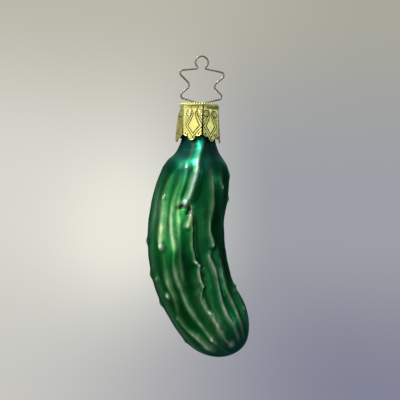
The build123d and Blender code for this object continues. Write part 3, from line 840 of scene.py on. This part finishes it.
# cut edges of the hole and of the slits' upper ends
n_ci = n_in_ring // 6
for k in range(6):
    add_rim(prev[k * n_c : (k + 1) * n_c], prev_in[k * n_ci : (k + 1) * n_ci])
    for fine, coarse in ((prev, prev_in), (top_ring, top_in)):
        a, b = k * n_c + n_c - 1, (k + 1) * n_c % n_ring
        ai, bi = k * n_ci + n_ci - 1, (k + 1) * n_ci % n_in_ring
        cap_faces.append([int(fine[a]), int(fine[b]), int(coarse[bi]), int(coarse[ai])])
cap = mesh_object("petal_cap", np.concatenate(cap_pts) * MM, cap_faces, "cap", "cap")
float_attribute(cap.data, "relief", np.concatenate(reliefs))
face_outwards(cap)

m, nt, p = new_material("stamped_gold_sheet")
co = object_coords(nt)
a_rel = attribute(nt, "relief")
cloud = noise(nt, co, 260.0, 4.0)
scuff = noise(nt, co, 2600.0, 4.0, 0.65, (1.0, 1.0, 0.45))
gold = mix(nt, mrange(nt, cloud, 0.35, 0.7), (0.90, 0.84, 0.25), (0.97, 0.94, 0.36))
# painted shade in the stamped grooves
gold = mix(nt, mrange(nt, a_rel, -0.006, -0.062), gold, (0.07, 0.058, 0.008))
# painted highlight on the raised parts of the stamping and the beads
gold = mix(nt, mrange(nt, a_rel, 0.04, 0.10, 0.0, 0.5), gold, (0.95, 0.92, 0.52))
gold = mix(nt, mrange(nt, scuff, 0.62, 0.80, 0.0, 0.30), gold, (0.56, 0.50, 0.17))
nt.links.new(gold, p.inputs["Base Color"])
p.inputs["Metallic"].default_value = 1.0
nt.links.new(mrange(nt, scuff, 0.3, 0.75, 0.24, 0.34), p.inputs["Roughness"])
bump(nt, p, scuff, 0.12, 0.00003)
cap.data.materials.append(m)

# ------------------------------------------------------------------ wire hanger
WIRE_R, EYE_RHO, EYE_NECK = 0.30, 2.10, 0.85
eye_z = WIRE_R - EYE_RHO
corner = EYE_RHO * math.sqrt(2)
neck_corner = eye_z - (corner - EYE_NECK)
route = [
    (-4.45, -39.5), (-4.45, -28.0), (-0.95, -17.2), (-0.95, -15.70), (-7.75, -13.88), (-3.30, -9.75), (-8.45, -4.98),
    (-EYE_NECK, neck_corner), (-corner, eye_z), (0, eye_z + corner), (corner, eye_z), (EYE_NECK, neck_corner),
    (9.00, -5.28), (3.95, -9.85), (8.35, -13.68), (0.95, -15.70), (0.95, -17.2), (4.45, -28.0), (4.45, -39.5),
]
bend_r = EYE_RHO - 0.15
radii = [3.0, 1.2, 0.70, 1.15, 1.50, 1.00, 0.45, bend_r, EYE_RHO, bend_r, 0.45, 1.10, 1.50, 1.10, 0.70, 1.2, 3.0]


def bent_wire(pts, radii):
    """Points along straight runs joined by tangent bends, with how hard it is bent at each."""
    pts = [np.array(q, float) for q in pts]
    line, bent = [pts[0]], [0.0]

    def run_to(q):
        a = line[-1]
        n = max(1, int(np.linalg.norm(q - a) / 0.35))
        for i in range(1, n + 1):
            line.append(a + (q - a) * i / n)
            bent.append(0.0)

    for a, b, d, rho in zip(pts, pts[1:], pts[2:], radii):
        e0 = (b - a) / np.linalg.norm(b - a)
        e1 = (d - b) / np.linalg.norm(d - b)
        turn = math.acos(max(-1, min(1, float(e0 @ e1))))
        tan = rho * math.tan(turn / 2)
        run_to(b - e0 * tan)
        side = 1 if e0[0] * e1[1] - e0[1] * e1[0] > 0 else -1
        nrm = np.array([-e0[1], e0[0]]) * side
        mid = b - e0 * tan + nrm * rho
        n = max(4, int(math.degrees(turn) / 6))
        for i in range(1, n + 1):
            w = turn * i / n
            line.append(mid - nrm * rho * math.cos(w) + e0 * rho * math.sin(w))
            bent.append(math.sin(math.pi * i / n) * min(1.0, 0.8 / rho))
    run_to(pts[-1])
    return np.array(line), np.array(bent)


line, bent = bent_wire(route, radii)
tangent = np.gradient(line, axis=0)
tangent /= np.linalg.norm(tangent, axis=1, keepdims=True)
run = np.concatenate([[0], np.cumsum(np.linalg.norm(np.diff(line, axis=0), axis=1))])
side = np.stack([-tangent[:, 1], tangent[:, 0]], 1)
# hand-bent: the free part strays a little out of its plane
free = ease(-15.2, -12.5, line[:, 1])
sway = 0.14 * waves(61, 6, 0, 22.0)(run, 0 * run) * free * (1 - ease(-1.5, 0.2, line[:, 1]))
RING = 20
ring_a = np.linspace(0, 2 * np.pi, RING, endpoint=False)


def wire_ring(i, scale=1.0, slide=0.0):
    """One round section of the wire, a little flattened where it is bent."""
    flat_w, deep_w = WIRE_R * (1 - 0.05 * bent[i]) * scale, WIRE_R * (1 + 0.04 * bent[i]) * scale
    mid = line[i] + tangent[i] * slide
    return np.stack(
        [mid[0] + side[i, 0] * flat_w * np.cos(ring_a), sway[i] + deep_w * np.sin(ring_a), mid[1] + side[i, 1] * flat_w * np.cos(ring_a)], 1
    )


n_l = len(line)
wire_rows = [wire_ring(0, 0.72)] + [wire_ring(0, 1.0, 0.08)] + [wire_ring(i) for i in range(1, n_l - 1)]
wire_rows += [wire_ring(n_l - 1, 1.0, -0.08), wire_ring(n_l - 1, 0.72)]
wire_rows = np.array(wire_rows)
j = np.arange(RING)
jn = (j + 1) % RING
wire_faces = []
for r in range(len(wire_rows) - 1):
    a, b = r * RING, (r + 1) * RING
    wire_faces.extend(np.stack([a + j, a + jn, b + jn, b + j], 1).tolist())
wire_faces.append(list(range(RING))[::-1])
lastr = (len(wire_rows) - 1) * RING
wire_faces.append([lastr + q for q in range(RING)])
wire = mesh_object("spring_wire", wire_rows.reshape(-1, 3) * MM, wire_faces, "hanger", "wire_hanger")
face_outwards(wire)
bend_glint_amount = np.concatenate([[0.0], bent, [0.0]])
float_attribute(wire.data, "bend_glint", np.repeat(bend_glint_amount, RING))

m, nt, p = new_material("drawn_spring_wire")
co = object_coords(nt)
a_bend_glint = attribute(nt, "bend_glint")
cloud = noise(nt, co, 420.0, 4.0)
draw = noise(nt, co, 2600.0, 3.0, 0.6)
steel = mix(nt, mrange(nt, cloud, 0.35, 0.7), (0.27, 0.245, 0.19), (0.38, 0.345, 0.28))
steel = mix(nt, mrange(nt, draw, 0.58, 0.78, 0.0, 0.25), steel, (0.18, 0.155, 0.11))
# painted highlight on the bends
steel = mix(nt, calc(nt, "MULTIPLY", a_bend_glint, 0.35), steel, (0.58, 0.55, 0.47))
nt.links.new(steel, p.inputs["Base Color"])
p.inputs["Metallic"].default_value = 1.0
nt.links.new(mrange(nt, draw, 0.3, 0.7, 0.32, 0.42), p.inputs["Roughness"])
bump(nt, p, draw, 0.10, 0.00002)
wire.data.materials.append(m)

# ------------------------------------------------------------------ stage and light
FLOOR = -0.34
prof = [(0.0, FLOOR), (0.25, FLOOR), (0.5, FLOOR)]
prof += [(0.5 + 0.45 * math.sin(a), FLOOR + 0.45 * (1 - math.cos(a))) for a in np.linspace(0.1, math.pi / 2, 12)]
prof += [(0.95, 0.25), (0.95, 0.4)]
prof += [(0.95 * math.cos(a), 0.4 + 0.5 * math.sin(a)) for a in np.linspace(0.15, math.pi / 2 - 0.02, 12)]
N_ST = 96
st_a = np.linspace(0, 2 * np.pi, N_ST, endpoint=False)
st_pts, st_faces = [(0, 0, FLOOR)], []
for r, z in prof[1:]:
    st_pts += [(r * math.cos(a), r * math.sin(a), z) for a in st_a]
j = np.arange(N_ST)
jn = (j + 1) % N_ST
st_faces += np.stack([np.zeros(N_ST, int), 1 + j, 1 + jn], 1).tolist()
for r in range(len(prof) - 2):
    a, b = 1 + r * N_ST, 1 + (r + 1) * N_ST
    st_faces += np.stack([a + j, b + j, b + jn, a + jn], 1).tolist()
st_mesh = bpy.data.meshes.new("stage")
st_mesh.from_pydata(st_pts, [], st_faces)
st_mesh.update()
st_mesh.polygons.foreach_set("use_smooth", [True] * len(st_mesh.polygons))
stage = bpy.data.objects.new("stage", st_mesh)
scene.collection.objects.link(stage)
stage.visible_glossy = False
m, nt, p = new_material("pale_backdrop")
co = object_coords(nt)
sep = nt.nodes.new("ShaderNodeSeparateXYZ")
nt.links.new(co, sep.inputs[0])
sx, sz = sep.outputs["X"], sep.outputs["Z"]
# painted light on the backdrop: lighter on the left, darker to the right and low down, with a painted pool of light
# low on the left; it glows with the same tone
middle = mix(nt, mrange(nt, sx, -0.14, 0.13), (0.64, 0.64, 0.585), (0.325, 0.337, 0.370))
upper = mix(nt, mrange(nt, sx, -0.15, 0.28), (0.475, 0.468, 0.400), (0.375, 0.375, 0.325))
lower = mix(nt, mrange(nt, sx, -0.28, 0.22), (0.535, 0.530, 0.505), (0.205, 0.210, 0.285))
backdrop_painted_light = mix(nt, mrange(nt, sz, -0.02, 0.27), middle, upper)
backdrop_painted_light = mix(nt, mrange(nt, sz, -0.08, -0.30), backdrop_painted_light, lower)
pool_x = calc(nt, "POWER", calc(nt, "ABSOLUTE", calc(nt, "DIVIDE", calc(nt, "ADD", sx, 0.115), 0.11)), 2.0)
pool_z = calc(nt, "POWER", calc(nt, "ABSOLUTE", calc(nt, "DIVIDE", calc(nt, "ADD", sz, 0.090), 0.115)), 2.0)
pool = calc(nt, "DIVIDE", 1.0, calc(nt, "ADD", calc(nt, "ADD", pool_x, pool_z), 1.0))
backdrop_painted_light = mix(nt, mrange(nt, pool, 0.15, 1.0, 0.0, 0.75), backdrop_painted_light, (0.80, 0.80, 0.715))
nt.links.new(mix(nt, 0.85, backdrop_painted_light, (0.0, 0.0, 0.0)), p.inputs["Base Color"])
p.inputs["Roughness"].default_value = 0.9
p.inputs["Specular IOR Level"].default_value = 0.0
nt.links.new(backdrop_painted_light, p.inputs["Emission Color"])
p.inputs["Emission Strength"].default_value = 0.95
stage.data.materials.append(m)

# what the shiny surfaces see all round: dark in front, lighter at the sides, behind and above
world = bpy.data.worlds.new("surroundings")
scene.world = world
world.use_nodes = True
wt = world.node_tree
wt.nodes.clear()
wo = wt.nodes.new("ShaderNodeOutputWorld")
bg = wt.nodes.new("ShaderNodeBackground")
wt.links.new(bg.outputs[0], wo.inputs[0])
tc = wt.nodes.new("ShaderNodeTexCoord")
sp = wt.nodes.new("ShaderNodeSeparateXYZ")
wt.links.new(tc.outputs["Generated"], sp.inputs[0])
wx, wy, wz = sp.outputs
turn = calc(wt, "ARCTAN2", wx, calc(wt, "MULTIPLY", wy, -1.0))
# level round the horizon, by angle from the front towards +X in degrees
HORIZON = [
    (-180, 0.34), (-150, 0.40), (-125, 0.36), (-100, 0.26), (-88, 0.40), (-70, 0.92), (-48, 0.96), (-32, 0.60), (-18, 0.24),
    (-4, 0.14), (8, 0.17), (20, 0.30), (36, 0.33), (52, 0.22), (70, 0.13), (92, 0.09), (125, 0.08), (150, 0.15), (180, 0.34),
]
ramp = wt.nodes.new("ShaderNodeValToRGB")
ramp.color_ramp.interpolation = "EASE"
while len(ramp.color_ramp.elements) < len(HORIZON):
    ramp.color_ramp.elements.new(0.5)
for e, (deg, v) in zip(ramp.color_ramp.elements, HORIZON):
    e.position = (deg + 180) / 360
for e, (deg, v) in zip(ramp.color_ramp.elements, HORIZON):
    e.color = (v, v, v, 1.0)
wt.links.new(mrange(wt, turn, -math.pi, math.pi, 0.0, 1.0, False), ramp.inputs[0])
level = calc(wt, "ADD", ramp.outputs[0], 0.0)
level = mix(wt, mrange(wt, wz, 0.20, 0.55), level, (0.30, 0.30, 0.30))


def patch(level, az, el, value):
    """A lighter card: az in degrees and el as height, each fading in and out over its four numbers."""
    a, e = [math.radians(v) for v in az], el
    across_it = calc(wt, "MULTIPLY", mrange(wt, turn, a[0], a[1]), mrange(wt, turn, a[3], a[2]))
    up_it = calc(wt, "MULTIPLY", mrange(wt, wz, e[0], e[1]), mrange(wt, wz, e[3], e[2]))
    return mix(wt, calc(wt, "MULTIPLY", across_it, up_it), level, (value, value, value))


level = patch(level, (54, 66, 86, 99), (0.03, 0.09, 0.19, 0.30), 1.5)
level = patch(level, (132, 143, 164, 175), (0.22, 0.32, 0.60, 0.75), 1.2)
level = patch(level, (-175, -166, -146, -136), (0.30, 0.40, 0.62, 0.75), 1.0)
level = patch(level, (-54, -37, -21, -7), (0.05, 0.15, 0.34, 0.50), 1.3)
ceiling = calc(wt, "MULTIPLY", mrange(wt, wz, 0.60, 0.78), mrange(wt, wx, 0.22, -0.05))
level = mix(wt, mrange(wt, wz, 0.55, 0.95), level, (0.40, 0.40, 0.40))
level = mix(wt, ceiling, level, (1.15, 1.15, 1.15))
level = mix(wt, mrange(wt, wz, -0.12, -0.45), level, (0.18, 0.18, 0.18))
tint = mix(wt, mrange(wt, wx, 0.5, -0.5), (0.88, 0.95, 1.0), (1.0, 0.99, 0.95))
wt.links.new(tint, bg.inputs["Color"])
wt.links.new(level, bg.inputs["Strength"])
world.cycles.sampling_method = "NONE"


def softbox(name, azimuth, elevation, distance, width, tall, watts, colour):
    """An area light aimed at the body's middle; azimuth 0 is the front, positive to +X."""
    aim = Vector((0.0, 0.0, -0.055))
    a, e = math.radians(azimuth), math.radians(elevation)
    out = Vector((math.sin(a) * math.cos(e), -math.cos(a) * math.cos(e), math.sin(e)))
    data = bpy.data.lights.new(name, "AREA")
    data.shape = "RECTANGLE"
    data.size, data.size_y = width, tall
    data.energy = watts
    data.color = colour
    obj = bpy.data.objects.new(name, data)
    obj.location = aim + out * distance
    obj.rotation_mode = "QUATERNION"
    obj.rotation_quaternion = (-out).to_track_quat("-Z", "Y")
    obj.visible_camera = False
    scene.collection.objects.link(obj)
    return obj


softbox("high_key", -56, 47, 0.62, 0.07, 0.07, 2.0, (1.0, 0.99, 0.97))
# a broad pale wall to the left, which lights the matt paint only
softbox("left_wall", -50, 6, 0.60, 0.40, 0.30, 2.2, (1.0, 0.98, 0.93)).visible_glossy = False

# the same behind on the right, so the paint there is lit too
softbox("back_wall", 150, 30, 0.70, 0.40, 0.30, 3.0, (1.0, 0.99, 0.97)).visible_glossy = False
